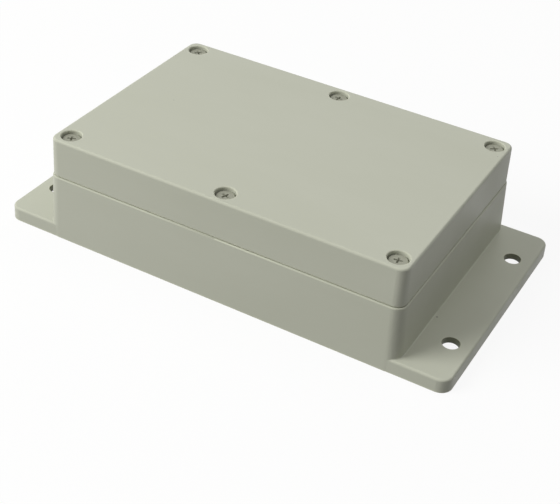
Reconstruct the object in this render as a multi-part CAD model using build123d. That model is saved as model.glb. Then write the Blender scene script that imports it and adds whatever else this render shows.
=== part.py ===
from build123d import *

import os
from math import radians, tan

# A sealed plastic project box in two mouldings, with a mounting flange at each end.
# Millimetres. X runs along the box, Z is up, and the origin is the middle of its underside.

# Outer form, measured at the foot. Both mouldings taper upwards by the outer draft, but
# the base's end walls lean in by the end draft.
body_length = 154.2
body_width = 103.5
body_corner_radius = 5.2
base_height = 27.8
lid_height = 16.3
outer_draft = 1.4
end_draft = 3.0
lid_setback = 0.35
lid_edge_radius = 1.0
base_rim_radius = 0.5
lid_rim_radius = 0.35
joint_gap = 0.3
joint_gap_depth = 0.7

# Walls and the cores that shape them.
base_wall = 3.2
floor_thickness = 2.6
lid_top_thickness = 2.8
core_draft = 0.7
core_edge_radius = 0.8

# End flanges: a thin plate carried by a skirt and by ribs underneath.
flange_reach = 19.4
flange_height = 5.7
flange_plate_thickness = 2.5
flange_corner_radius = 4.8
flange_edge_radius = 0.9
flange_foot_radius = 0.4
flange_setback = 0.1
flange_skirt_thickness = 2.2
flange_rib_thickness = 1.6
flange_rib_from_hole = 11.0
mount_hole_diameter = 6.5
mount_hole_from_end = 8.2
mount_hole_spacing = 61.7
mount_hole_rim_radius = 0.3

# Lid screws, which sink into round recesses. Their inset is from the base's rim.
screw_inset = 6.8
screw_diameter = 4.0
screw_length = 20.0
screw_tip_chamfer = 0.5
head_diameter = 7.6
head_height = 2.6
head_taper = 5.0
head_edge_radius = 0.4
driver_wing_length = 3.4
driver_wing_width = 0.8
driver_depth = 1.1
driver_taper = 8.0
recess_diameter = 8.0
recess_above_head = 1.25
recess_rim_radius = 0.5
screw_hole_diameter = 4.5

# Threaded inserts in the screw columns of the base.
insert_diameter = 5.6
insert_length = 8.1
insert_sink = 0.3
insert_groove_width = 1.2
insert_groove_depth = 0.45
insert_lead_length = 0.9
insert_lead_depth = 0.25
insert_fit = 0.03
thread_fit = 0.06
tip_room = 2.0

# Seal: a tongue round the base's rim presses a soft cord into a groove in the lid.
lid_lip = 1.15
groove_width = 1.5
groove_depth = 3.2
tongue_width = 1.1
tongue_height = 1.6
tongue_edge_radius = 0.25
column_wall = 1.6
seal_bend_radius = 3.0
smallest_bend_radius = 0.3
gasket_side_fit = 0.05
gasket_lift = 0.05

# Bosses on the floor for a circuit board.
board_hole_spacing_x = 112.0
board_hole_spacing_y = 60.0
boss_diameter = 6.4
boss_height = 5.0
boss_draft = 1.0
boss_hole_diameter = 2.5
boss_hole_depth = 5.0
boss_foot_radius = 0.6

# Marks of moulding: round ejector marks on the floor and a gate mark under it.
ejector_mark_diameter = 5.0
ejector_mark_depth = 0.15
ejector_spacing_x = 84.0
ejector_spacing_y = 36.0
gate_dimple_diameter = 9.0
gate_dimple_depth = 0.5
gate_stub_diameter = 2.4
gate_stub_length = 0.3

# Sizes that follow from the ones above.
total_height = base_height + lid_height
rim_shrink = base_height * tan(radians(outer_draft))
rim_length = body_length - 2 * base_height * tan(radians(end_draft))
rim_width = body_width - 2 * rim_shrink
rim_corner_radius = body_corner_radius - rim_shrink
lid_length = rim_length - 2 * lid_setback
lid_width = rim_width - 2 * lid_setback
lid_corner_radius = rim_corner_radius - lid_setback
overall_length = body_length + 2 * flange_reach
column_x = rim_length / 2 - screw_inset
column_y = rim_width / 2 - screw_inset
seal_inset = lid_setback + lid_lip + groove_width / 2
seal_ring_radius = insert_diameter / 2 + column_wall + tongue_width / 2
head_seat_height = total_height - recess_above_head - head_height
insert_top = base_height - insert_sink
insert_seat = insert_top - insert_length
mount_hole_x = overall_length / 2 - mount_hole_from_end

columns = {
    f"{side}_{place}": (column_x * along, column_y * across)
    for side, across in (("front", -1), ("back", 1))
    for place, along in (("left", -1), ("middle", 0), ("right", 1))
}


def top_edges(solid):
    """Edges round a solid's highest face."""
    return solid.faces().sort_by(Axis.Z)[-1].edges()


def bottom_edges(solid):
    """Edges round a solid's lowest face."""
    return solid.faces().sort_by(Axis.Z)[0].edges()


def circular_rims(edges, diameter):
    """Edges that run round a hole of the given diameter."""
    circles = edges.filter_by(GeomType.CIRCLE)
    return [edge for edge in circles if abs(edge.radius - diameter / 2) < 1e-4]


def upright_cylinder(radius, bottom, top):
    """Cylinder on the Z axis between two heights."""
    return Pos(0, 0, bottom) * extrude(Circle(radius), top - bottom)


def at_columns(shape):
    """One copy of a shape at each screw column."""
    return [Pos(x, y) * shape for x, y in columns.values()]


def column_bay(x, y, ring_radius):
    """Plan of the bay that a screw column takes out of the sealed space."""
    reach = 2 * screw_inset
    across = reach if y > 0 else -reach
    bay = Circle(ring_radius) + Pos(0, across / 2) * Rectangle(2 * ring_radius, reach)
    if x:
        along = reach if x > 0 else -reach
        bay += Pos(along / 2, 0) * Rectangle(reach, 2 * ring_radius)
        bay += Pos(along / 2, across / 2) * Rectangle(reach, reach)
    return Pos(x, y) * bay


def seal_outline(inward):
    """Plan inside the seal's centre line, which passes inside every screw column."""
    half_x = rim_length / 2 - seal_inset - inward
    half_y = rim_width / 2 - seal_inset - inward
    plan = Rectangle(2 * half_x, 2 * half_y)
    for x, y in columns.values():
        plan -= column_bay(x, y, seal_ring_radius + inward)
    bends = [
        vertex
        for vertex in plan.vertices()
        if abs(abs(vertex.X) - half_x) < 1e-4 or abs(abs(vertex.Y) - half_y) < 1e-4
    ]
    return fillet(bends, max(seal_bend_radius - inward, smallest_bend_radius))


def seal_ring(width, bottom, top):
    """Ring of a given width that follows the seal's centre line."""
    plan = seal_outline(-width / 2) - seal_outline(width / 2)
    return Pos(0, 0, bottom) * extrude(plan, top - bottom)


def sealed_core(inward, mouth, end):
    """Space inside the seal, narrowing from its mouth to its end by the core's draft."""
    depth = abs(end - mouth)
    shrink = depth * tan(radians(core_draft))
    wide = Pos(0, 0, mouth) * seal_outline(inward)
    narrow = Pos(0, 0, end) * seal_outline(inward + shrink)
    core = loft([wide, narrow], ruled=True)
    end_edges = top_edges(core) if end > mouth else bottom_edges(core)
    return fillet(end_edges, core_edge_radius)


def flange_plate():
    """Plate under the whole box whose two ends are the flanges."""
    plan = RectangleRounded(overall_length, body_width - 2 * flange_setback, flange_corner_radius)
    plate = fillet(top_edges(extrude(plan, flange_height, taper=outer_draft)), flange_edge_radius)
    places = GridLocations(2 * mount_hole_x, mount_hole_spacing, 2, 2)
    plate -= [place * upright_cylinder(mount_hole_diameter / 2, 0, flange_height) for place in places]
    rims = circular_rims(top_edges(plate), mount_hole_diameter)
    return fillet(rims, mount_hole_rim_radius)


def flange_foot_edges(body):
    """Edges where the flanges' upper faces meet the box's end walls."""
    at_height = body.edges().filter_by_position(Axis.Z, flange_height - 1e-3, flange_height + 1e-3)
    beyond = body_length / 2 - body_corner_radius
    return [edge for edge in at_height if beyond < abs(edge.center().X) < body_length / 2]


def flange_pockets():
    """Hollows under the flanges, between the skirt, the ribs and the end walls."""
    skirt = flange_skirt_thickness
    plan = RectangleRounded(
        overall_length - 2 * skirt,
        body_width - 2 * flange_setback - 2 * skirt,
        flange_corner_radius - skirt,
    )
    plan -= Rectangle(body_length, body_width)
    hole_y = mount_hole_spacing / 2
    beside = (hole_y - flange_rib_from_hole, hole_y + flange_rib_from_hole)
    for y in (0, *beside, *(-place for place in beside)):
        plan -= Pos(0, y) * Rectangle(overall_length, flange_rib_thickness)
    return extrude(plan, flange_height - flange_plate_thickness)


def insert_holes():
    """Stepped holes in the screw columns: the insert's seat and room for the screw's tip."""
    tip = head_seat_height - screw_length
    seat = upright_cylinder(insert_diameter / 2 + insert_fit, insert_seat, base_height)
    relief = upright_cylinder(screw_hole_diameter / 2, tip - tip_room, insert_seat)
    return at_columns(seat + relief)


def board_bosses():
    """Bosses with blind pilot holes for the board's screws."""
    top = floor_thickness + boss_height
    # The boss starts inside the floor, so that the two mouldings' material joins.
    root = floor_thickness / 2
    boss = Pos(0, 0, root) * extrude(Circle(boss_diameter / 2), top - root, taper=boss_draft)
    foot_radius = boss_diameter / 2 + boss_foot_radius
    foot = upright_cylinder(foot_radius, root, floor_thickness + boss_foot_radius)
    boss += chamfer(top_edges(foot), boss_foot_radius * 0.9)
    boss -= upright_cylinder(boss_hole_diameter / 2, top - boss_hole_depth, top)
    return [place * boss for place in GridLocations(board_hole_spacing_x, board_hole_spacing_y, 2, 2)]


def moulding_marks():
    """Shallow ejector marks on the floor and the dimple round the gate under it."""
    radius = ejector_mark_diameter / 2
    mark = upright_cylinder(radius, floor_thickness - ejector_mark_depth, floor_thickness)
    marks = [place * mark for place in GridLocations(ejector_spacing_x, ejector_spacing_y, 2, 2)]
    dimple = upright_cylinder(gate_dimple_diameter / 2, 0, gate_dimple_depth)
    stub = upright_cylinder(gate_stub_diameter / 2, gate_dimple_depth - gate_stub_length, gate_dimple_depth)
    return marks + [dimple - stub]


def make_base():
    """Base moulding: shell, flanges, screw columns, sealing tongue and board bosses."""
    foot = RectangleRounded(body_length, body_width, body_corner_radius)
    rim = Pos(0, 0, base_height) * RectangleRounded(rim_length, rim_width, rim_corner_radius)
    body = loft([foot, rim], ruled=True)
    body = fillet(top_edges(body), base_rim_radius)
    body += flange_plate()
    body = fillet(flange_foot_edges(body), flange_foot_radius)
    body -= flange_pockets()
    body -= sealed_core(base_wall - seal_inset, base_height, floor_thickness)
    tongue = seal_ring(tongue_width, base_height - base_rim_radius, base_height + tongue_height)
    body += fillet(top_edges(tongue), tongue_edge_radius)
    body -= insert_holes()
    body += board_bosses()
    body -= moulding_marks()
    return body


def make_lid():
    """Lid moulding: top, side walls, gasket groove, screw columns and screw recesses."""
    rim = RectangleRounded(lid_length, lid_width, lid_corner_radius)
    body = Pos(0, 0, base_height + joint_gap) * extrude(rim, lid_height - joint_gap, taper=outer_draft)
    body = fillet(top_edges(body), lid_edge_radius)
    body = fillet(bottom_edges(body), lid_rim_radius)
    # The lid bears on the base inside a fine open joint, which shows as a line round the box.
    seat = RectangleRounded(
        lid_length - 2 * joint_gap_depth,
        lid_width - 2 * joint_gap_depth,
        lid_corner_radius - joint_gap_depth,
    )
    body += Pos(0, 0, base_height) * extrude(seat, joint_gap + lid_rim_radius)
    inner_lip = groove_width / 2 + lid_lip
    body -= sealed_core(inner_lip, base_height, total_height - lid_top_thickness)
    body -= seal_ring(groove_width, base_height, base_height + groove_depth)
    recess = upright_cylinder(recess_diameter / 2, head_seat_height, total_height)
    hole = upright_cylinder(screw_hole_diameter / 2, base_height, head_seat_height)
    body -= at_columns(recess + hole)
    return fillet(circular_rims(top_edges(body), recess_diameter), recess_rim_radius)


def make_gasket():
    """Soft cord that fills the groove above the tongue."""
    width = groove_width - 2 * gasket_side_fit
    bottom = base_height + tongue_height + gasket_lift
    return seal_ring(width, bottom, base_height + groove_depth)


def driver_recess():
    """Cross-shaped socket in the screw's head, narrowing downwards."""
    wing = Rectangle(driver_wing_length, driver_wing_width)
    cross = wing + Rot(0, 0, 90) * wing
    top = Plane(origin=(0, 0, head_height), x_dir=(1, 0, 0), z_dir=(0, 0, -1))
    return extrude(top * cross, driver_depth, taper=driver_taper)


def make_screw():
    """Cheese-head machine screw, its head's underside at Z = 0, with a plain shank."""
    radius = screw_diameter / 2
    head_radius = head_diameter / 2
    top_radius = head_radius - head_height * tan(radians(head_taper))
    outline = Polyline(
        (0, 0, -screw_length),
        (radius - screw_tip_chamfer, 0, -screw_length),
        (radius, 0, screw_tip_chamfer - screw_length),
        (radius, 0, 0),
        (head_radius, 0, 0),
        (top_radius, 0, head_height),
        (0, 0, head_height),
        close=True,
    )
    profile = make_face(outline)
    edge = profile.vertices().sort_by_distance((top_radius, 0, head_height))[0]
    screw = revolve(fillet(edge, head_edge_radius), Axis.Z)
    return screw - driver_recess()


def make_insert():
    """Brass insert with a groove round its waist, its lower face at Z = 0."""
    radius = insert_diameter / 2
    waist = insert_length / 2
    body = upright_cylinder(radius, 0, insert_length)
    groove = upright_cylinder(radius, waist - insert_groove_width / 2, waist + insert_groove_width / 2)
    body -= groove - upright_cylinder(radius - insert_groove_depth, 0, insert_length)
    lead = upright_cylinder(radius, 0, insert_lead_length)
    body -= lead - upright_cylinder(radius - insert_lead_depth, 0, insert_lead_length)
    return body - upright_cylinder(screw_diameter / 2 + thread_fit, 0, insert_length)


def build():
    """Every piece by its node's name."""
    pieces = {"base": make_base(), "lid": make_lid(), "gasket": make_gasket()}
    screw = make_screw()
    insert = make_insert()
    for name, (x, y) in columns.items():
        pieces[f"lid_screw_{name}"] = Pos(x, y, head_seat_height) * screw
        pieces[f"threaded_insert_{name}"] = Pos(x, y, insert_seat) * insert
    return pieces


os.makedirs("parts", exist_ok=True)
for name, piece in build().items():
    export_step(piece, f"parts/{name}.step")
    print(name, round(piece.volume), "mm3", len(piece.faces()), "faces")
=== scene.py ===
"""Sealed plastic project box with a mounting flange at each end, dressed for the studio.

Lengths are in metres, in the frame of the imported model, unless a name ends in _mm.
X runs along the box, Z is up, and the origin is the middle of the underside.
"""

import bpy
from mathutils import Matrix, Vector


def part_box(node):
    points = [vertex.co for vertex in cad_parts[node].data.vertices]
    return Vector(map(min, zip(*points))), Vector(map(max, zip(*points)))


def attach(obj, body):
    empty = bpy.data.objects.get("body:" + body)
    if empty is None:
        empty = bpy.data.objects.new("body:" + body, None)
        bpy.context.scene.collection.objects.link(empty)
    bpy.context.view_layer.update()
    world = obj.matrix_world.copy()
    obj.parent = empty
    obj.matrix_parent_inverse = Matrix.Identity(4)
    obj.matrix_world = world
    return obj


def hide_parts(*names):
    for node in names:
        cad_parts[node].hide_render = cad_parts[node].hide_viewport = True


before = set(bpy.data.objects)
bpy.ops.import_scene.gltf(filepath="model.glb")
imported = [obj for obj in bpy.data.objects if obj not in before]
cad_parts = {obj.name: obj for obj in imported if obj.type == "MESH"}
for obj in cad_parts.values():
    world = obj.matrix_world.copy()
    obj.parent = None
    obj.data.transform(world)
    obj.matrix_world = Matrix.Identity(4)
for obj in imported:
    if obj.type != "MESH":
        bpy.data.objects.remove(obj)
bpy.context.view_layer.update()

import logging
import math
from collections.abc import Iterable, Mapping, Sequence
from dataclasses import dataclass, field
from enum import Enum

import bpy
from mathutils import Matrix, Vector

LOG = logging.getLogger("project_box")
MM = 0.001
SHARP_EDGE_ANGLE = math.radians(32)
WELD_DISTANCE = 0.001 * MM
# Blender's identifiers of the nodes that work on numbers and on vectors.
NUMBERS = "ShaderNodeMath"
VECTORS = "ShaderNodeVectorMath"
TURNING = "turned_surface"
# Shares of a thread's wave between which it slopes, so its crest and root are flat.
THREAD_SLOPE = (0.12, 0.84)

Colour = tuple[float, float, float, float]
Point = tuple[float, float, float]
Piece = bpy.types.Object
Tree = bpy.types.NodeTree
Node = bpy.types.Node
Socket = bpy.types.NodeSocket
Source = Node | Socket
Layer = tuple[Source, str]
Step = tuple[str | float | Point, ...]

SOCKET_KINDS = {
    float: "NodeSocketFloat",
    int: "NodeSocketInt",
    tuple: "NodeSocketVector",
    bpy.types.Material: "NodeSocketMaterial",
}


class Slot(Enum):
    """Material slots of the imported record."""

    HOUSING = "housing"
    SEAL = "seal"
    SCREW = "screw"
    INSERT = "insert"


class Side(Enum):
    """Long side of the box that a screw column stands on, with its sign along Y."""

    FRONT = -1
    BACK = 1


class Place(Enum):
    """Place of a screw column along the box, with its sign along X."""

    LEFT = -1
    MIDDLE = 0
    RIGHT = 1


class Knurl(Enum):
    """Lean of the ridges on a band of an insert."""

    NONE = 0
    LEFT_HAND = -1
    RIGHT_HAND = 1


class Marks(Enum):
    """Pattern of the lines that forming leaves on a metal."""

    RINGS = "RINGS"
    BANDS = "BANDS"


@dataclass(frozen=True)
class Column:
    """One of the six screw columns."""

    side: Side
    place: Place

    @property
    def name(self) -> str:
        """Name that the screw's body and nodes end in."""
        return f"{self.side.name}_{self.place.name}".lower()

    @property
    def screw(self) -> str:
        """Name of the CAD node and body of the screw in this column."""
        return f"lid_screw_{self.name}"

    @property
    def insert(self) -> str:
        """Name of the CAD node of the insert in this column."""
        return f"threaded_insert_{self.name}"

    def axis(self) -> Vector:
        """Point of the column's axis at the height of the screw's tip."""
        low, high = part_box(self.screw)
        return Vector(((low.x + high.x) / 2, (low.y + high.y) / 2, low.z))


COLUMNS = tuple(Column(side, place) for side in Side for place in Place)


def linear(hex_colour: str) -> Colour:
    """Turns an sRGB hex colour into linear light.

    Args:
        hex_colour: Colour as "#rrggbb".

    Returns:
        Red, green, blue and an alpha of 1, for a shader's socket.
    """
    channels = (int(hex_colour[i : i + 2], 16) / 255 for i in (1, 3, 5))
    red, green, blue = (
        c / 12.92 if c <= 0.04045 else ((c + 0.055) / 1.055) ** 2.4 for c in channels
    )
    return (red, green, blue, 1.0)


def per_metre(size_mm: float) -> float:
    """Texture scale at which one feature of a pattern has this size in millimetres."""
    return 1.0 / (size_mm * MM)


def add_node(
    tree: Tree, kind: str, inputs: Mapping[int | str, object] | None = None, **settings: object
) -> Node:
    """Adds a node with its settings and links.

    Args:
        tree: Shader or geometry tree to add to.
        kind: Blender's identifier of the node's type.
        inputs: Input's name or index, with its value or with what feeds it: an output, a
            node for its first output in use, or a list of them where it takes several.
        **settings: Properties to set on the node before its inputs are filled.

    Returns:
        The new node.
    """
    node = tree.nodes.new(kind)
    for name, value in settings.items():
        setattr(node, name, value)
    for key, value in (inputs or {}).items():
        for source in value if isinstance(value, list) else [value]:
            if isinstance(source, Node):
                source = next(output for output in source.outputs if output.enabled)
            if isinstance(source, Socket):
                tree.links.new(source, node.inputs[key])
            else:
                node.inputs[key].default_value = source
    return node


def work_out(
    tree: Tree, known: Mapping[str, Source], steps: Mapping[str, Step], kind: str = NUMBERS
) -> dict[str, Source]:
    """Adds a chain of nodes that each do one named operation.

    Args:
        tree: Tree to add to.
        known: What the steps may use, by name.
        steps: Each result's name, with its operation and the values or names it takes.
        kind: Blender's identifier of the type of node that does the operations.

    Returns:
        What was known and the results, by name.
    """
    found = dict(known)
    for name, (operation, *terms) in steps.items():
        values = {i: found[t] if isinstance(t, str) else t for i, t in enumerate(terms)}
        found[name] = add_node(tree, kind, values, operation=operation)
    return found


def empty_tree(owner: bpy.types.Material | bpy.types.World) -> Tree:
    """Gives a material or a world a node tree with nothing in it."""
    owner.use_nodes = True
    owner.node_tree.nodes.clear()
    return owner.node_tree


@dataclass(frozen=True, kw_only=True)
class Finish:
    """A finish: a ground colour under layers of other tones, on a surface with relief.

    The first layer's pattern moves the roughness too, up and down by its swing.
    """

    name: str
    colour: str
    roughness: float
    roughness_swing: float = 0.0
    # Values of the pattern at which the roughness is lowest and highest.
    swing_range: tuple[float, float] = (0.0, 1.0)
    relief_mm: float
    relief_strength: float = 1.0
    metallic: float = 0.0
    ior: float | None = None

    def patterns(self, tree: Tree) -> tuple[list[Layer], Source]:
        """Adds the patterns, and returns the layers of colour and the relief."""
        raise NotImplementedError

    def material(self) -> bpy.types.Material:
        """Builds the finish's material.

        Returns:
            The material, named for what it is and how its surface was made.
        """
        material = bpy.data.materials.new(self.name)
        tree = empty_tree(material)
        layers, relief = self.patterns(tree)
        colour: object = linear(self.colour)
        for share, tone in layers:
            mixed = {0: share, 6: colour, 7: linear(tone)}
            colour = add_node(tree, "ShaderNodeMix", mixed, data_type="RGBA")
        depth = self.relief_mm * MM
        raised = {"Strength": self.relief_strength, "Distance": depth, "Height": relief}
        look = {
            "Base Color": colour,
            "Roughness": self.roughness,
            "Metallic": self.metallic,
            "Normal": add_node(tree, "ShaderNodeBump", raised),
        }
        if self.ior is not None:
            look["IOR"] = self.ior
        if self.roughness_swing:
            low, high = self.swing_range
            swing = {
                "Value": layers[0][0],
                "From Min": low,
                "From Max": high,
                "To Min": self.roughness - self.roughness_swing,
                "To Max": self.roughness + self.roughness_swing,
            }
            look["Roughness"] = add_node(tree, "ShaderNodeMapRange", swing)
        shader = add_node(tree, "ShaderNodeBsdfPrincipled", look)
        add_node(tree, "ShaderNodeOutputMaterial", {"Surface": shader})
        return material


@dataclass(frozen=True, kw_only=True)
class SparkErodedAbs(Finish):
    """ABS moulded in a finely spark-eroded mould.

    An even pale grey with a green-yellow cast. The eroded grain breaks a highlight into
    a low satin sheen, and the pigment lies in faint clouds drawn out along the flow. A
    paler tone is painted along each outer edge as a painted highlight, and the bore of a
    mounting hole is painted darker as painted shade.
    """

    name: str = "abs_moulded_spark_eroded"
    colour: str = "#c0c2b2"
    clouded: str = "#babcab"
    # Painted highlight: the paler tone laid along every sharp outer edge.
    edge: str = "#d6d8bd"
    # Painted shade: the darker tone laid on the walls of the four mounting holes.
    painted_bore_shade: str = "#6f7259"
    inclusion: str = "#72736a"
    roughness: float = 0.48
    roughness_swing: float = 0.05
    swing_range: tuple[float, float] = (0.3, 0.7)
    ior: float = 1.54
    cloud_mm: float = 26.0
    flow_stretch: float = 3.5
    # Real grain is near 0.1 mm. It is drawn three times as coarse, to show in a render.
    grain_mm: float = 0.32
    relief_mm: float = 0.010
    edge_mm: float = 0.9
    edge_share: float = 0.5
    # Openness seen from inside the plastic, on a face and on a sharp outer edge.
    edge_range: tuple[float, float] = (0.95, 0.55)
    # The mounting hole at +X and +Y. The other three mirror it.
    bore_axis: Point = (0.0883, 0.03085, 0.0)
    # The painted shade ends between these distances from the axis, just outside the wall.
    bore_shade_range_mm: tuple[float, float] = (3.30, 3.55)
    inclusion_spacing_mm: float = 13.0
    inclusion_mm: float = 0.34
    # An inclusion that shows on the right-hand flange.
    flange_inclusion: Point = (0.0780, -0.0199, 0.0057)

    def patterns(self, tree: Tree) -> tuple[list[Layer], Source]:
        """Adds the clouds, painted edge highlights, painted bore shade, inclusions and grain.

        Args:
            tree: The material's tree.

        Returns:
            The layers of colour, and the grain as the relief.
        """
        place = add_node(tree, "ShaderNodeTexCoord").outputs["Object"]
        drawn_out = add_node(
            tree, "ShaderNodeMapping", {"Vector": place, "Scale": (1 / self.flow_stretch, 1, 1)}
        )
        size = per_metre(self.cloud_mm)
        clouds = add_node(
            tree,
            "ShaderNodeTexNoise",
            {"Vector": drawn_out, "Scale": size, "Detail": 3.0, "Roughness": 0.55},
        )
        size = per_metre(self.grain_mm)
        grain = add_node(
            tree,
            "ShaderNodeTexNoise",
            {"Vector": place, "Scale": size, "Detail": 2.0, "Roughness": 0.6},
        )
        layers = [
            (clouds, self.clouded),
            # Painted highlight along the outer edges.
            (self._painted_edge_highlights(tree), self.edge),
            # Painted shade in the mounting holes.
            (self._bore_shade_mask(tree, place), self.painted_bore_shade),
            (self._inclusions(tree, place), self.inclusion),
        ]
        return layers, grain

    def _painted_edge_highlights(self, tree: Tree) -> Source:
        """Finds the outer edges, where a short way into the plastic leads out again, for a painted
        highlight.

        Args:
            tree: The material's tree.

        Returns:
            The edge's share on a sharp outer edge, and 0 on a face.
        """
        reach = {"Distance": self.edge_mm * MM}
        inward = add_node(
            tree, "ShaderNodeAmbientOcclusion", reach, samples=8, inside=True, only_local=True
        ).outputs["AO"]
        face, edge = self.edge_range
        span = {"Value": inward, "From Min": face, "From Max": edge, "To Max": self.edge_share}
        return add_node(tree, "ShaderNodeMapRange", span)

    def _bore_shade_mask(self, tree: Tree, place: Source) -> Source:
        """Finds the walls of the four mounting holes, where shade is painted.

        Args:
            tree: The material's tree.
            place: Object coordinates.

        Returns:
            1 on a bore's wall, and 0 a little way out from it.
        """
        steps = {
            "folded": ("ABSOLUTE", "place"),
            "level": ("MULTIPLY", "folded", (1.0, 1.0, 0.0)),
            "away": ("DISTANCE", "level", self.bore_axis),
        }
        found = work_out(tree, {"place": place}, steps, VECTORS)
        near, far = self.bore_shade_range_mm
        span = {"From Min": near * MM, "From Max": far * MM, "To Min": 1.0, "To Max": 0.0}
        return add_node(tree, "ShaderNodeMapRange", {"Value": found["away"], **span})

    def _inclusions(self, tree: Tree, place: Source) -> Source:
        """Adds rare dark inclusions in the plastic.

        Args:
            tree: The material's tree.
            place: Object coordinates.

        Returns:
            1 in an inclusion, and 0 elsewhere.
        """
        spacing = self.inclusion_spacing_mm
        cells = add_node(
            tree, "ShaderNodeTexVoronoi", {"Vector": place, "Scale": per_metre(spacing)}
        )
        chosen = {0: place, 1: self.flange_inclusion}
        away = add_node(tree, VECTORS, chosen, operation="DISTANCE")
        steps = {
            "scattered": ("LESS_THAN", "cell", self.inclusion_mm / 2 / spacing),
            "on_flange": ("LESS_THAN", "away", self.inclusion_mm * MM),
            "either": ("MAXIMUM", "scattered", "on_flange"),
        }
        return work_out(tree, {"cell": cells, "away": away}, steps)["either"]


@dataclass(frozen=True, kw_only=True)
class WorkedMetal(Finish):
    """Metal with a patchy tone and the fine lines of its forming as its relief."""

    patched: str
    patch_mm: float
    patch_detail: float = 2.0
    line_mm: float
    line_waver: float
    line_detail: float = 2.0
    marks: Marks
    metallic: float = 1.0

    def place(self, tree: Tree) -> Source:
        """Coordinates that the patterns lie in."""
        return add_node(tree, "ShaderNodeTexCoord").outputs["Object"]

    def patterns(self, tree: Tree) -> tuple[list[Layer], Source]:
        """Adds the metal's patches and lines.

        Args:
            tree: The material's tree.

        Returns:
            The layer of patches, and the lines as the relief.
        """
        place = self.place(tree)
        size = per_metre(self.patch_mm)
        patches = add_node(
            tree,
            "ShaderNodeTexNoise",
            {"Vector": place, "Scale": size, "Detail": self.patch_detail},
        )
        lines = add_node(
            tree,
            "ShaderNodeTexWave",
            {
                "Vector": place,
                # A wave texture of scale 1 has a line each 2 pi / 20 of its own unit.
                "Scale": per_metre(self.line_mm) * math.pi / 10,
                "Distortion": self.line_waver,
                "Detail": self.line_detail,
            },
            wave_type=self.marks.value,
            bands_direction="Z",
            rings_direction="Z",
        ).outputs["Fac"]
        return [(patches, self.patched)], lines


@dataclass(frozen=True, kw_only=True)
class DullZincSteel(WorkedMetal):
    """Cold-headed steel under a dull zinc coat.

    The zinc's fine flakes lie in a matt binder, so a head takes light and shade much as
    the plastic round it does, with only a little of a metal's gloss. Faint rings from
    the head's forming show through, and the coat is patchy.
    """

    name: str = "steel_dull_zinc_coated"
    colour: str = "#a9aa9a"
    patched: str = "#9b9c8d"
    metallic: float = 0.4
    roughness: float = 0.55
    roughness_swing: float = 0.08
    patch_mm: float = 0.9
    # Rings are near 0.1 mm apart. They are drawn at 0.35 mm, to show in a render.
    line_mm: float = 0.35
    line_waver: float = 0.6
    line_detail: float = 1.0
    relief_mm: float = 0.006
    marks: Marks = Marks.RINGS
    local: str = "turned_place"

    def place(self, tree: Tree) -> Source:
        """A screw's own coordinates, which it keeps when it is put in its column."""
        return add_node(tree, "ShaderNodeAttribute", attribute_name=self.local).outputs["Vector"]


@dataclass(frozen=True, kw_only=True)
class TurnedBrass(WorkedMetal):
    """Free-cutting brass, turned and knurled.

    A bright yellow metal with fine turning lines, slightly browned by handling.
    """

    name: str = "brass_turned"
    colour: str = "#d3b169"
    patched: str = "#a98a4c"
    roughness: float = 0.30
    roughness_swing: float = 0.07
    patch_mm: float = 1.6
    patch_detail: float = 3.0
    line_mm: float = 0.25
    line_waver: float = 0.4
    relief_mm: float = 0.004
    marks: Marks = Marks.BANDS


@dataclass(frozen=True, kw_only=True)
class ExtrudedRubber(Finish):
    """Soft black sponge rubber with an extruded skin.

    A matt near-black skin, with fine pores that break up what little light it returns.
    """

    name: str = "rubber_sponge_extruded"
    colour: str = "#2f2f31"
    dusty: str = "#454544"
    roughness: float = 0.78
    ior: float = 1.52
    dust_mm: float = 7.0
    pore_mm: float = 0.4
    relief_mm: float = 0.03
    relief_strength: float = 0.8

    def patterns(self, tree: Tree) -> tuple[list[Layer], Source]:
        """Adds the rubber's dust and pores.

        Args:
            tree: The material's tree.

        Returns:
            The layer of dust, and the pores as the relief.
        """
        place = add_node(tree, "ShaderNodeTexCoord").outputs["Object"]
        spread = {"Vector": place, "Scale": per_metre(self.dust_mm), "Detail": 4.0}
        dust = add_node(tree, "ShaderNodeTexNoise", spread)
        cells = {"Vector": place, "Scale": per_metre(self.pore_mm)}
        return [(dust, self.dusty)], add_node(tree, "ShaderNodeTexVoronoi", cells)


def start_tree(name: str, inputs: Mapping[str, object]) -> tuple[Tree, dict[str, Socket]]:
    """Starts a geometry tree that takes and gives one geometry.

    Args:
        name: The tree's name.
        inputs: Its other inputs by name, each with a value of its kind.

    Returns:
        The tree, and the outputs that give its inputs, by name.
    """
    tree = bpy.data.node_groups.new(name, "GeometryNodeTree")
    for way in ("INPUT", "OUTPUT"):
        tree.interface.new_socket("Geometry", in_out=way, socket_type="NodeSocketGeometry")
    for label, value in inputs.items():
        kind = SOCKET_KINDS[type(value)]
        tree.interface.new_socket(label, in_out="INPUT", socket_type=kind)
    given = add_node(tree, "NodeGroupInput").outputs
    return tree, {label: given[label] for label in ("Geometry", *inputs)}


def finish_tree(tree: Tree, geometry: Source, finish: Source) -> Tree:
    """Ends a tree: realizes its instances, shades them with sharp edges, sets the material.

    Args:
        tree: Tree to end.
        geometry: What it has made.
        finish: Its input for the material.

    Returns:
        The tree.
    """
    realized = add_node(tree, "GeometryNodeRealizeInstances", {"Geometry": geometry})
    smooth = add_node(
        tree,
        "GeometryNodeSetShadeSmooth",
        {"Geometry": realized, "Shade Smooth": True},
        domain="FACE",
    )
    angle = add_node(tree, "GeometryNodeInputMeshEdgeAngle")
    bent = add_node(tree, NUMBERS, {0: angle, 1: SHARP_EDGE_ANGLE}, operation="GREATER_THAN")
    sharp = add_node(
        tree,
        "GeometryNodeSetShadeSmooth",
        {"Geometry": smooth, "Selection": bent, "Shade Smooth": False},
        domain="EDGE",
    )
    dressed = add_node(tree, "GeometryNodeSetMaterial", {"Geometry": sharp, "Material": finish})
    add_node(tree, "NodeGroupOutput", {"Geometry": dressed})
    return tree


def link(name: str, data: bpy.types.ID) -> Piece:
    """Puts a new object in the scene."""
    new = bpy.data.objects.new(name, data)
    bpy.context.scene.collection.objects.link(new)
    return new


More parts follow.
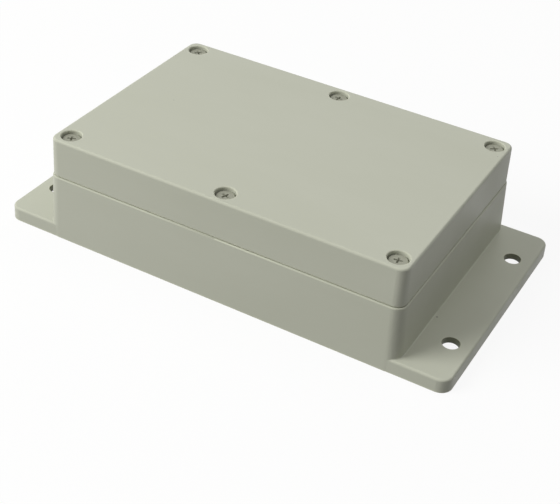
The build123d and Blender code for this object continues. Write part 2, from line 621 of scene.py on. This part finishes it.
def make_piece(
    name: str,
    points: Sequence[Point],
    tree: Tree,
    values: Mapping[str, object],
    weights: Mapping[str, Sequence[float]] | None = None,
    closed: bool = False,
) -> Piece:
    """Makes a plain mesh piece from a line of points and a geometry tree.

    Args:
        name: The piece's name.
        points: The line that the tree starts from.
        tree: The tree.
        values: Values of the tree's inputs by name.
        weights: Named attributes of the line's points.
        closed: Whether the line's last point joins its first.

    Returns:
        The piece, with no modifier left on it.
    """
    line = bpy.data.meshes.new(name)
    edges = [(i, i + 1) for i in range(len(points) - 1)]
    if closed:
        edges.append((len(points) - 1, 0))
    line.from_pydata(points, edges, [])
    for label, numbers in (weights or {}).items():
        line.attributes.new(label, "FLOAT", "POINT").data.foreach_set("value", numbers)
    piece = link(name, line)
    modifier = piece.modifiers.new(tree.name, "NODES")
    modifier.node_group = tree
    for item in tree.interface.items_tree:
        if item.in_out == "INPUT" and item.name in values:
            modifier[item.identifier] = values[item.name]
    evaluated = piece.evaluated_get(bpy.context.evaluated_depsgraph_get())
    solid = bpy.data.meshes.new_from_object(evaluated)
    piece.modifiers.clear()
    piece.data = solid
    bpy.data.meshes.remove(line)
    solid.name = name
    return piece


@dataclass
class Section:
    """Half section of a turned piece, drawn point by point, with where it is threaded.

    A row is a point's radius, its height, how much of the thread's depth it takes
    (inwards above 0, outwards below 0), and the lean of its knurl.
    """

    rows: list[tuple[float, float, float, float]] = field(default_factory=list)

    def to(
        self, radius: float, height: float, thread: float = 0.0, knurl: Knurl = Knurl.NONE
    ) -> None:
        """Goes on to a point."""
        self.rows.append((radius, height, thread, float(knurl.value)))

    def through(self, *points: tuple[float, float]) -> None:
        """Goes through plain points, each a radius and a height."""
        for radius, height in points:
            self.to(radius, height)

    def along(
        self,
        radius: float,
        heights: tuple[float, float],
        step: float,
        thread: float = 0.0,
        knurl: Knurl = Knurl.NONE,
    ) -> None:
        """Goes straight up or down in short steps.

        Args:
            radius: Distance from the axis.
            heights: First and last height.
            step: Longest step.
            thread: Share of the thread's depth.
            knurl: Lean of the knurl.
        """
        start, end = heights
        count = max(1, math.ceil(abs(end - start) / step))
        for i in range(count + 1):
            self.to(radius, start + (end - start) * i / count, thread, knurl)

    def arc(
        self, centre: tuple[float, float], radius: float, angles: tuple[float, float], count: int
    ) -> None:
        """Goes round an arc.

        Args:
            centre: Radius and height of the arc's centre.
            radius: The arc's radius.
            angles: First and last angle in degrees, from the outward direction.
            count: Number of steps.
        """
        start, end = angles
        for i in range(count + 1):
            angle = math.radians(start + (end - start) * i / count)
            self.to(centre[0] + radius * math.cos(angle), centre[1] + radius * math.sin(angle))

    def points(self) -> list[Point]:
        """Points of the section in the XZ plane."""
        return [(radius, 0.0, height) for radius, height, _, _ in self.rows]

    def weights(self) -> dict[str, list[float]]:
        """Named attributes that the turning tree reads."""
        return {"thread": [row[2] for row in self.rows], "knurl": [row[3] for row in self.rows]}


def wave_steps(name: str, phase: str) -> dict[str, Step]:
    """Steps of a triangle wave from 1 to 0 and back over one unit of a named phase."""
    fallen = f"{name} fallen"
    return {fallen: ("PINGPONG", phase, 0.5), name: ("MULTIPLY_ADD", fallen, -2.0, 1.0)}


def turning_tree(inputs: Mapping[str, object]) -> Tree:
    """Builds the tree that turns a section round the Z axis with threads and knurls.

    Each row of a grid takes one point of the section, and each column one angle. The
    thread is a helical wave of the radius, and the knurl a ring of leaning ridges.

    Args:
        inputs: Its inputs by name, each with a value of its kind.

    Returns:
        The tree, which gives the turned surface.
    """
    tree, given = start_tree(TURNING, inputs)
    section = given["Geometry"]
    index = add_node(tree, "GeometryNodeInputIndex")
    known = work_out(
        tree,
        {**given, "index": index},
        {
            "columns": ("ADD", "Segments", 1),
            "column": ("MODULO", "index", "columns"),
            "row start": ("SUBTRACT", "index", "column"),
            "row": ("DIVIDE", "row start", "columns"),
            "turn": ("DIVIDE", "column", "Segments"),
        },
    )
    count = add_node(
        tree, "GeometryNodeAttributeDomainSize", {"Geometry": section}, component="MESH"
    )
    grid = add_node(
        tree, "GeometryNodeMeshGrid", {"Vertices X": count, "Vertices Y": known["columns"]}
    )
    sources = [("place", "FLOAT_VECTOR", add_node(tree, "GeometryNodeInputPosition"))]
    for name in ("thread", "knurl"):
        named = {"Name": name}
        source = add_node(tree, "GeometryNodeInputNamedAttribute", named, data_type="FLOAT")
        sources.append((name, "FLOAT", source))
    for name, data_type, source in sources:
        known[name] = add_node(
            tree,
            "GeometryNodeSampleIndex",
            {"Geometry": section, "Value": source, "Index": known["row"]},
            data_type=data_type,
            domain="POINT",
        )
    place = add_node(tree, "ShaderNodeSeparateXYZ", {"Vector": known["place"]}).outputs
    known = work_out(
        tree,
        {**known, "radius": place["X"], "height": place["Z"]},
        {
            "pitches": ("DIVIDE", "height", "Pitch"),
            "helix": ("SUBTRACT", "pitches", "turn"),
            **wave_steps("thread wave", "helix"),
            "around": ("MULTIPLY", "turn", "Ridges"),
            "slant": ("MULTIPLY", "height", "Ridge Lean"),
            "ridge phase": ("MULTIPLY_ADD", "slant", "knurl", "around"),
            **wave_steps("ridge wave", "ridge phase"),
        },
    )
    low, high = THREAD_SLOPE
    known["groove"] = add_node(
        tree,
        "ShaderNodeMapRange",
        {"Value": known["thread wave"], "From Min": low, "From Max": high},
    )
    known = work_out(
        tree,
        known,
        {
            "groove depth": ("MULTIPLY", "groove", "Thread Depth"),
            "cut": ("MULTIPLY", "groove depth", "thread"),
            "ridge height": ("MULTIPLY", "ridge wave", "Ridge Depth"),
            "knurled": ("ABSOLUTE", "knurl"),
            "ridge": ("MULTIPLY", "ridge height", "knurled"),
            "threaded": ("SUBTRACT", "radius", "cut"),
            "reach": ("SUBTRACT", "threaded", "ridge"),
            "angle": ("MULTIPLY", "turn", math.tau),
            "cosine": ("COSINE", "angle"),
            "sine": ("SINE", "angle"),
            "x": ("MULTIPLY", "reach", "cosine"),
            "y": ("MULTIPLY", "reach", "sine"),
        },
    )
    turned = add_node(
        tree, "ShaderNodeCombineXYZ", {"X": known["x"], "Y": known["y"], "Z": known["height"]}
    )
    shaped = add_node(tree, "GeometryNodeSetPosition", {"Geometry": grid, "Position": turned})
    closed = add_node(
        tree, "GeometryNodeMergeByDistance", {"Geometry": shaped, "Distance": WELD_DISTANCE}
    )
    add_node(tree, "NodeGroupOutput", {"Geometry": closed})
    return tree


@dataclass
class Housing:
    """The two mouldings, which keep the shapes of their CAD nodes."""

    finish: Finish = SparkErodedAbs()
    mouldings: tuple[str, ...] = ("base", "lid")

    def build(self) -> list[Piece]:
        """Dresses both mouldings.

        Returns:
            The base and the lid.
        """
        material = self.finish.material()
        pieces = [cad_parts[name] for name in self.mouldings]
        for piece in pieces:
            for slot in piece.material_slots:
                slot.material = material
        return pieces


@dataclass
class TurnedParts:
    """Threaded parts that one tree turns from their half section."""

    pitch: float = 0.7 * MM
    thread_depth: float = 0.40 * MM
    segments: int = 48
    rows_per_pitch: int = 6
    ridges: int = 0
    ridge_depth: float = 0.0
    ridge_lean: float = 0.0

    def turning(self) -> dict[str, object]:
        """Values of the turning tree's inputs by name."""
        return {
            "Segments": self.segments,
            "Pitch": self.pitch,
            "Thread Depth": self.thread_depth,
            "Ridges": self.ridges,
            "Ridge Depth": self.ridge_depth,
            "Ridge Lean": self.ridge_lean,
        }

    def start(self, name: str, inputs: Mapping[str, object]) -> tuple[Tree, dict[str, Socket]]:
        """Starts the parts' tree with the section turned.

        Args:
            name: The tree's name.
            inputs: Values of its inputs by name.

        Returns:
            The tree, and its inputs' outputs by name with the turned part as Turned.
        """
        tree, given = start_tree(name, inputs)
        passed = {label: given[label] for label in ("Geometry", *self.turning())}
        group = bpy.data.node_groups.get(TURNING) or turning_tree(self.turning())
        turned = add_node(tree, "GeometryNodeGroup", passed, node_tree=group)
        return tree, {**given, "Turned": turned}


@dataclass
class LidScrews(TurnedParts):
    """Six cheese-head machine screws with a cross recess, one to a body."""

    shank_radius: float = 1.99 * MM
    length: float = 20.0 * MM
    tip_chamfer: float = 0.5 * MM
    neck: float = 0.9 * MM
    runout: float = 0.2 * MM
    head_radius: float = 3.78 * MM
    head_height: float = 2.6 * MM
    head_taper: float = 5.0
    head_edge_radius: float = 0.4 * MM
    head_edge_angles: tuple[float, float] = (4, 90)
    foot_edge_radius: float = 0.12 * MM
    recess_length: float = 3.4 * MM
    recess_width: float = 0.8 * MM
    recess_depth: float = 1.15 * MM
    recess_length_left: float = 0.5
    recess_width_left: float = 0.7
    # Degrees that each screw stopped at when it was tightened.
    turns: tuple[float, ...] = (24.0, 71.0, 8.0, 47.0, 83.0, 36.0)
    finish: DullZincSteel = DullZincSteel()

    def section(self) -> Section:
        """Half section of a screw, its head's underside at the height 0.

        Returns:
            The section from the tip's middle to the head's middle.
        """
        section = Section()
        shank, tip, chamfer, neck = self.shank_radius, -self.length, self.tip_chamfer, -self.neck
        root = shank - self.thread_depth
        section.through((0, tip), (root * 0.6, tip), (shank - chamfer, tip))
        section.to(shank - chamfer / 2, tip + chamfer / 2, 0.4)
        step = self.pitch / self.rows_per_pitch
        section.along(shank, (tip + chamfer, neck), step, thread=1.0)
        section.to(shank, neck + self.runout, 0.5)
        section.through((shank, neck + 2 * self.runout), (shank, 0))
        foot = self.foot_edge_radius
        section.arc((self.head_radius - foot, foot), foot, (-90, 0), 3)
        lean = math.tan(math.radians(self.head_taper))
        edge, height = self.head_edge_radius, self.head_height
        top = self.head_radius - height * lean
        section.arc((top - edge + edge * lean, height - edge), edge, self.head_edge_angles, 6)
        section.through(*(((top - edge) * share, height) for share in (0.7, 0.35, 0)))
        return section

    def tree(self, inputs: Mapping[str, object]) -> Tree:
        """Builds the tree that turns a screw, cuts its recess and puts it in place.

        Args:
            inputs: Values of its inputs by name.

        Returns:
            The tree.
        """
        tree, given = self.start("lid_screw", inputs)
        cube = add_node(tree, "GeometryNodeMeshCube", {"Size": given["Recess Size"]})
        wing = self._tapered(tree, cube, given)
        lift = add_node(tree, "ShaderNodeCombineXYZ", {"Z": given["Head Height"]})
        wings = [
            add_node(
                tree,
                "GeometryNodeTransform",
                {"Geometry": wing, "Translation": lift, "Rotation": (0.0, 0.0, angle)},
            )
            for angle in (0.0, math.pi / 2)
        ]
        cut = add_node(
            tree,
            "GeometryNodeMeshBoolean",
            {"Mesh 1": given["Turned"], "Mesh 2": wings},
            operation="DIFFERENCE",
            solver="EXACT",
        )
        position = add_node(tree, "GeometryNodeInputPosition")
        kept = add_node(
            tree,
            "GeometryNodeStoreNamedAttribute",
            {"Geometry": cut, "Name": self.finish.local, "Value": position},
            data_type="FLOAT_VECTOR",
            domain="POINT",
        )
        placed = add_node(
            tree,
            "GeometryNodeTransform",
            {"Geometry": kept, "Translation": given["Place"], "Rotation": given["Turn"]},
        )
        return finish_tree(tree, placed, given["Finish"])

    def _tapered(self, tree: Tree, cube: Source, given: Mapping[str, Source]) -> Source:
        """Tapers a block to the recess's foot, keeping its size at mid height.

        Args:
            tree: The screw's tree.
            cube: The block.
            given: The tree's inputs by name.

        Returns:
            The tapered block.
        """
        whole = (1.0, 1.0, 1.0)
        known = {**given, "place": add_node(tree, "GeometryNodeInputPosition")}
        known = work_out(tree, known, {"share": ("DIVIDE", "place", "Recess Size")}, VECTORS)
        up = add_node(tree, "ShaderNodeSeparateXYZ", {"Vector": known["share"]}).outputs["Z"]
        # The level runs from -1 at the foot to 1 above the head.
        known = work_out(tree, {**known, "up": up}, {"level": ("MULTIPLY", "up", 2.0)})
        steps = {
            "narrowing": ("SUBTRACT", whole, "Recess Foot"),
            "scale": ("MULTIPLY_ADD", "narrowing", "level", whole),
            "shaped": ("MULTIPLY", "place", "scale"),
        }
        shaped = work_out(tree, known, steps, VECTORS)["shaped"]
        return add_node(tree, "GeometryNodeSetPosition", {"Geometry": cube, "Position": shaped})

    def build(self) -> list[Piece]:
        """Builds each screw on its own body.

        Returns:
            The six screws.
        """
        section = self.section()
        inputs = {
            **self.turning(),
            "Head Height": self.head_height,
            "Recess Size": (self.recess_length, self.recess_width, 2 * self.recess_depth),
            "Recess Foot": (self.recess_length_left, self.recess_width_left, 1.0),
            "Turn": (0.0, 0.0, 0.0),
            "Place": (0.0, 0.0, 0.0),
            "Finish": self.finish.material(),
        }
        tree = self.tree(inputs)
        pieces = []
        for column, turn in zip(COLUMNS, self.turns):
            tip = column.axis()
            inputs["Turn"] = (0.0, 0.0, math.radians(turn))
            inputs["Place"] = (tip.x, tip.y, tip.z + self.length)
            name = f"cross_recess_screw_{column.name}"
            piece = make_piece(name, section.points(), tree, inputs, section.weights())
            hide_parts(column.screw)
            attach(piece, column.screw)
            pieces.append(piece)
        return pieces


@dataclass
class ThreadedInserts(TurnedParts):
    """Six knurled brass inserts moulded into the base's screw columns."""

    thread_depth: float = 0.28 * MM
    segments: int = 112
    rows_per_pitch: int = 5
    ridges: int = 28
    ridge_depth: float = 0.26 * MM
    ridge_lean: float = 900.0
    knurl_step: float = 0.3 * MM
    radius: float = 2.79 * MM
    length: float = 8.1 * MM
    lead_radius: float = 2.5 * MM
    lead_length: float = 0.9 * MM
    waist_radius: float = 2.32 * MM
    waist_width: float = 1.2 * MM
    collar: float = 0.5 * MM
    edge: float = 0.12 * MM
    crest_radius: float = 2.07 * MM
    crest_room: float = 0.05 * MM
    mouth_radius: float = 2.35 * MM
    mouth_depth: float = 0.35 * MM
    finish: Finish = TurnedBrass()

    def section(self) -> Section:
        """Half section of an insert, its lower face at the height 0.

        Returns:
            The section up the outside and down the thread, back to where it starts.
        """
        section = Section()
        waist, groove, slope = self.length / 2, self.waist_width / 2, self.edge
        lead, length, root = self.lead_radius, self.length, self.radius - self.ridge_depth
        section.through((lead - slope, 0), (lead, slope), (lead, self.lead_length - slope))
        bands = (
            (self.lead_length, waist - groove, Knurl.LEFT_HAND),
            (waist + groove, length - self.collar, Knurl.RIGHT_HAND),
        )
        for low, high, lean in bands:
            section.to(root, low)
            section.along(self.radius, (low + slope, high - slope), self.knurl_step, knurl=lean)
            section.to(root, high)
            if lean is Knurl.LEFT_HAND:
                section.to(self.waist_radius, high + slope / 2)
                section.to(self.waist_radius, high + self.waist_width - slope / 2)
        collar = self.radius - slope
        section.through(
            (collar, length - self.collar + slope),
            (collar, length - slope),
            (collar - slope, length),
            (self.mouth_radius, length),
            (self.crest_radius + self.crest_room, length - self.mouth_depth + slope),
        )
        heights = (length - self.mouth_depth, self.mouth_depth)
        section.along(self.crest_radius, heights, self.pitch / self.rows_per_pitch, thread=-1.0)
        section.through((self.mouth_radius - slope, 0), (lead - slope, 0))
        return section

    def tree(self, inputs: Mapping[str, object]) -> Tree:
        """Builds the tree that turns an insert and sets one in every column.

        Args:
            inputs: Values of its inputs by name.

        Returns:
            The tree.
        """
        tree, given = self.start("insert_set", inputs)
        spans = {"Size X": given["Span X"], "Size Y": given["Span Y"]}
        counts = {"Vertices X": len(Place), "Vertices Y": len(Side)}
        grid = add_node(tree, "GeometryNodeMeshGrid", {**spans, **counts})
        lift = add_node(tree, "ShaderNodeCombineXYZ", {"Z": given["Seat"]})
        seats = add_node(tree, "GeometryNodeTransform", {"Geometry": grid, "Translation": lift})
        # Each insert went in at its own angle.
        angle = add_node(
            tree,
            "FunctionNodeRandomValue",
            {"Min": (0.0, 0.0, 0.0), "Max": (0.0, 0.0, math.tau), "Seed": 5},
            data_type="FLOAT_VECTOR",
        )
        set_in = add_node(
            tree,
            "GeometryNodeInstanceOnPoints",
            {"Points": seats, "Instance": given["Turned"], "Rotation": angle},
        )
        return finish_tree(tree, set_in, given["Finish"])

    def build(self) -> list[Piece]:
        """Builds the set of inserts.

        Returns:
            One piece that holds all six.
        """
        axes = [column.axis() for column in COLUMNS]
        section = self.section()
        inputs = {
            **self.turning(),
            "Span X": max(a.x for a in axes) - min(a.x for a in axes),
            "Span Y": max(a.y for a in axes) - min(a.y for a in axes),
            "Seat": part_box(COLUMNS[0].insert)[0].z,
            "Finish": self.finish.material(),
        }
        piece = make_piece(
            "knurled_inserts", section.points(), self.tree(inputs), inputs, section.weights()
        )
        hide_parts(*(column.insert for column in COLUMNS))
        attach(piece, "base")
        return [piece]


@dataclass
class SealCord:
    """Soft cord that lies in the lid's groove and is pressed by the base's tongue."""

    side_room: float = 0.03 * MM
    end_room: float = 0.03 * MM
    ring_radius: float = 4.95 * MM
    bend_radius: float = 3.0 * MM
    squareness: float = 3.0
    dent_width: float = 1.1 * MM
    dent_depth: float = 0.16 * MM
    dent_steepness: float = 4.0
    bend_steps: int = 8
    section_points: int = 24
    cord_width: float = 1.4 * MM
    finish: Finish = ExtrudedRubber()

    def quarter(self) -> list[tuple[float, float]]:
        """Path of the cord in the quarter of the lid where X and Y are above 0.

        Returns:
            Points from the middle of the back side to the middle of the right end.
        """
        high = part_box("gasket")[1]
        half_x, half_y = high.x - self.cord_width / 2, high.y - self.cord_width / 2
        corner = max((c.axis() for c in COLUMNS), key=lambda a: a.x + a.y)
        ring, bend = self.ring_radius, self.bend_radius
        # Each arc is its centre, its radius, and its first and last angle in degrees.
        arcs = (
            # Round the inner side of the middle column, then out to the back wall.
            (0, corner.y, ring, 270, 360),
            (ring + bend, half_y - bend, bend, 180, 90),
            # Along the back wall, in past the corner column, and out to the end wall.
            (corner.x - ring - bend, half_y - bend, bend, 90, 0),
            (corner.x, corner.y, ring, 180, 270),
            (half_x - bend, corner.y - ring - bend, bend, 90, 0),
        )
        path = []
        for x, y, radius, start, end in arcs:
            for i in range(self.bend_steps + 1):
                angle = math.radians(start + (end - start) * i / self.bend_steps)
                path.append((x + radius * math.cos(angle), y + radius * math.sin(angle)))
        return path

    def path(self) -> list[Point]:
        """Closed path of the cord, anticlockwise seen from above, at the cord's middle.

        Returns:
            Its points, with none twice.
        """
        low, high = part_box("gasket")
        height = (low.z + high.z) / 2
        there = self.quarter()
        back = there[::-1]
        turns = ((back, 1, 1), (there, -1, 1), (back, -1, -1), (there, 1, -1))
        ring = [(x * across, y * up) for part, across, up in turns for x, y in part]
        apart = 0.01 * MM
        return [(*p, height) for i, p in enumerate(ring) if math.dist(p, ring[i - 1]) > apart]

    def tree(self, inputs: Mapping[str, object]) -> Tree:
        """Builds the tree that runs the cord's section along its path.

        The section is a squared oval, and the tongue has dented its underside.

        Args:
            inputs: Values of its inputs by name.

        Returns:
            The tree.
        """
        tree, given = start_tree("seal_cord", inputs)
        circle = add_node(
            tree,
            "GeometryNodeCurvePrimitiveCircle",
            {"Resolution": given["Section Points"], "Radius": 1.0},
            mode="RADIUS",
        )
        position = add_node(tree, "GeometryNodeInputPosition")
        parts = add_node(tree, "ShaderNodeSeparateXYZ", {"Vector": position}).outputs
        steps = {"power": ("DIVIDE", 2.0, "Squareness")}
        for axis, size in (("X", "Width"), ("Y", "Height")):
            steps |= {
                f"far {axis}": ("ABSOLUTE", axis),
                f"share {axis}": ("POWER", f"far {axis}", "power"),
                f"sign {axis}": ("SIGN", axis),
                f"signed {axis}": ("MULTIPLY", f"share {axis}", f"sign {axis}"),
                f"half {axis}": ("DIVIDE", size, 2.0),
                f"oval {axis}": ("MULTIPLY", f"signed {axis}", f"half {axis}"),
            }
        steps |= {
            "across": ("ABSOLUTE", "oval X"),
            "half dent": ("DIVIDE", "Dent Width", 2.0),
            "reach": ("DIVIDE", "across", "half dent"),
            "steep": ("POWER", "reach", self.dent_steepness),
            "bowl": ("SUBTRACT", 1.0, "steep"),
            "inside": ("MAXIMUM", "bowl", 0.0),
            "below": ("LESS_THAN", "oval Y", 0.0),
            "dented": ("MULTIPLY", "inside", "below"),
            "dent": ("MULTIPLY", "dented", "Dent Depth"),
            "shaped Y": ("ADD", "oval Y", "dent"),
        }
        known = work_out(tree, {**given, "X": parts["X"], "Y": parts["Y"]}, steps)
        oval = add_node(
            tree, "ShaderNodeCombineXYZ", {"X": known["oval X"], "Y": known["shaped Y"]}
        )
        section = add_node(tree, "GeometryNodeSetPosition", {"Geometry": circle, "Position": oval})
        path = add_node(tree, "GeometryNodeMeshToCurve", {"Mesh": given["Geometry"]})
        level = add_node(tree, "GeometryNodeSetCurveNormal", {"Curve": path}, mode="Z_UP")
        cord = add_node(tree, "GeometryNodeCurveToMesh", {"Curve": level, "Profile Curve": section})
        return finish_tree(tree, cord, given["Finish"])

    def build(self) -> list[Piece]:
        """Builds the cord.

        Returns:
            The cord as one piece.
        """
        low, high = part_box("gasket")
        inputs = {
            "Width": self.cord_width - 2 * self.side_room,
            "Height": high.z - low.z - 2 * self.end_room,
            "Squareness": self.squareness,
            "Dent Width": self.dent_width,
            "Dent Depth": self.dent_depth,
            "Section Points": self.section_points,
            "Finish": self.finish.material(),
        }
        piece = make_piece("seal_cord", self.path(), self.tree(inputs), inputs, closed=True)
        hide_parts("gasket")
        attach(piece, "lid")
        return [piece]


@dataclass(frozen=True)
class Lamp:
    """Round soft lamp, aimed at the box. Gloss shows it only where it shines."""

    name: str
    place: Point
    size: float
    power: float
    shines: bool = True

    def build(self) -> Piece:
        """Hangs the lamp.

        Returns:
            The lamp.
        """
        light = bpy.data.lights.new(self.name, "AREA")
        light.shape = "DISK"
        light.size = self.size
        light.energy = self.power
        lamp = link(self.name, light)
        lamp.visible_glossy = self.shines
        lamp.location = self.place
        lamp.rotation_euler = Vector(self.place).to_track_quat("Z", "Y").to_euler()
        return lamp


@dataclass
class Studio:
    """White floor and surroundings, a soft key lamp, one above and a low one behind.

    The floor is white where it is seen, and throws little light back at the box.
    """

    floor_reach: float = 3.0
    floor_points: int = 96
    floor_colour: str = "#bcbcba"
    floor_bounce: str = "#6b6b6a"
    floor_glow: float = 1.1
    floor_glow_share: float = 0.82
    world_light: float = 0.30
    world_seen: float = 1.0
    # The key and the back lamp would glare off the lid in a view from the other side.
    lamps: tuple[Lamp, ...] = (
        Lamp("key", (-0.743614, -0.743614, 0.764249), 0.85, 15.1, shines=False),
        Lamp("overhead", (0.25, 0.35, 1.3), 1.1, 3.7),
        Lamp("back", (-0.3, 1.2, 0.14), 0.45, 6.0, shines=False),
    )

    def build(self) -> list[Piece]:
        """Builds the floor, the lamps and the world.

        Returns:
            The floor and the lamps.
        """
        self._world()
        return [self._floor(), *(lamp.build() for lamp in self.lamps)]

    def _floor(self) -> Piece:
        """Makes a round floor just under the box.

        Returns:
            The floor.
        """
        reach, count, level = self.floor_reach, self.floor_points, -0.02 * MM
        angles = [math.tau * i / count for i in range(count)]
        rim = [(reach * math.cos(a), reach * math.sin(a), level) for a in angles]
        mesh = bpy.data.meshes.new("floor")
        mesh.from_pydata(rim, [], [tuple(range(count))])
        mesh.materials.append(self._paper())
        floor = link("floor", mesh)
        return floor

    def _seen_directly(self, tree: Tree) -> Source:
        """Adds a switch for rays from the camera, from gloss and through glass.

        Args:
            tree: Tree of the floor or the world.

        Returns:
            1 for such a ray, and 0 for light that falls on the box.
        """
        path = add_node(tree, "ShaderNodeLightPath").outputs
        known = {name: path[f"Is {name} Ray"] for name in ("Camera", "Glossy", "Transmission")}
        steps = {
            "either": ("MAXIMUM", "Camera", "Glossy"),
            "any": ("MAXIMUM", "either", "Transmission"),
        }
        return work_out(tree, known, steps)["any"]

    def _paper(self) -> bpy.types.Material:
        """Builds matt paper that looks white and still takes the box's shadow.

        Returns:
            The floor's material.
        """
        material = bpy.data.materials.new("paper_matt_white")
        tree = empty_tree(material)
        seen = self._seen_directly(tree)
        mixed = {0: seen, 6: linear(self.floor_bounce), 7: linear(self.floor_colour)}
        colour = add_node(tree, "ShaderNodeMix", mixed, data_type="RGBA")
        matt = add_node(tree, "ShaderNodeBsdfDiffuse", {"Color": colour})
        glow = add_node(tree, "ShaderNodeEmission", {"Strength": self.floor_glow})
        share = add_node(tree, NUMBERS, {0: seen, 1: self.floor_glow_share}, operation="MULTIPLY")
        paper = add_node(tree, "ShaderNodeMixShader", {0: share, 1: matt, 2: glow})
        add_node(tree, "ShaderNodeOutputMaterial", {"Surface": paper})
        return material

    def _world(self) -> None:
        """Lights the box evenly, and shows white behind it."""
        world = bpy.data.worlds.new("white_surroundings")
        tree = empty_tree(world)
        levels = {0: self._seen_directly(tree), 2: self.world_light, 3: self.world_seen}
        strength = add_node(tree, "ShaderNodeMix", levels, data_type="FLOAT")
        sky = add_node(tree, "ShaderNodeBackground", {"Strength": strength})
        add_node(tree, "ShaderNodeOutputWorld", {"Surface": sky})
        bpy.context.scene.world = world


@dataclass
class PhotoCamera:
    """Camera at the photograph's viewing angle."""

    position: Point = (0.184702, -0.35696, 0.283364)
    target: Point = (0.02019, -0.037453, 0.022)
    roll: float = 4.254
    lens_mm: float = 77.70
    sensor_mm: float = 36.0

    def build(self) -> Piece:
        """Places the camera and makes it the scene's.

        Returns:
            The camera.
        """
        data = bpy.data.cameras.new("photo_camera")
        data.lens = self.lens_mm
        data.sensor_width = self.sensor_mm
        camera = link("photo_camera", data)
        forward = (Vector(self.target) - Vector(self.position)).normalized()
        level = forward.cross(Vector((0, 0, 1))).normalized()
        roll = math.radians(self.roll)
        right = math.cos(roll) * level + math.sin(roll) * level.cross(forward)
        turned = Matrix((right, right.cross(forward), -forward)).transposed()
        camera.matrix_world = Matrix.Translation(self.position) @ turned.to_4x4()
        bpy.context.scene.camera = camera
        return camera


def report(label: str, pieces: Iterable[Piece]) -> None:
    """Logs what a class built.

    Args:
        label: Name of the sub-assembly.
        pieces: What it built.
    """
    for piece in pieces:
        faces = len(piece.data.polygons) if piece.type == "MESH" else 0
        LOG.info("%s: %s, %d faces", label, piece.name, faces)


def main() -> None:
    """Builds the camera, the studio and each sub-assembly."""
    logging.basicConfig(level=logging.INFO, format="%(name)s %(message)s")
    bpy.context.scene.view_settings.view_transform = "Standard"
    report("camera", [PhotoCamera().build()])
    report("studio", Studio().build())
    report("housing", Housing().build())
    report("lid screws", LidScrews().build())
    report("inserts", ThreadedInserts().build())
    report("seal", SealCord().build())


if __name__ == "__main__":
    main()
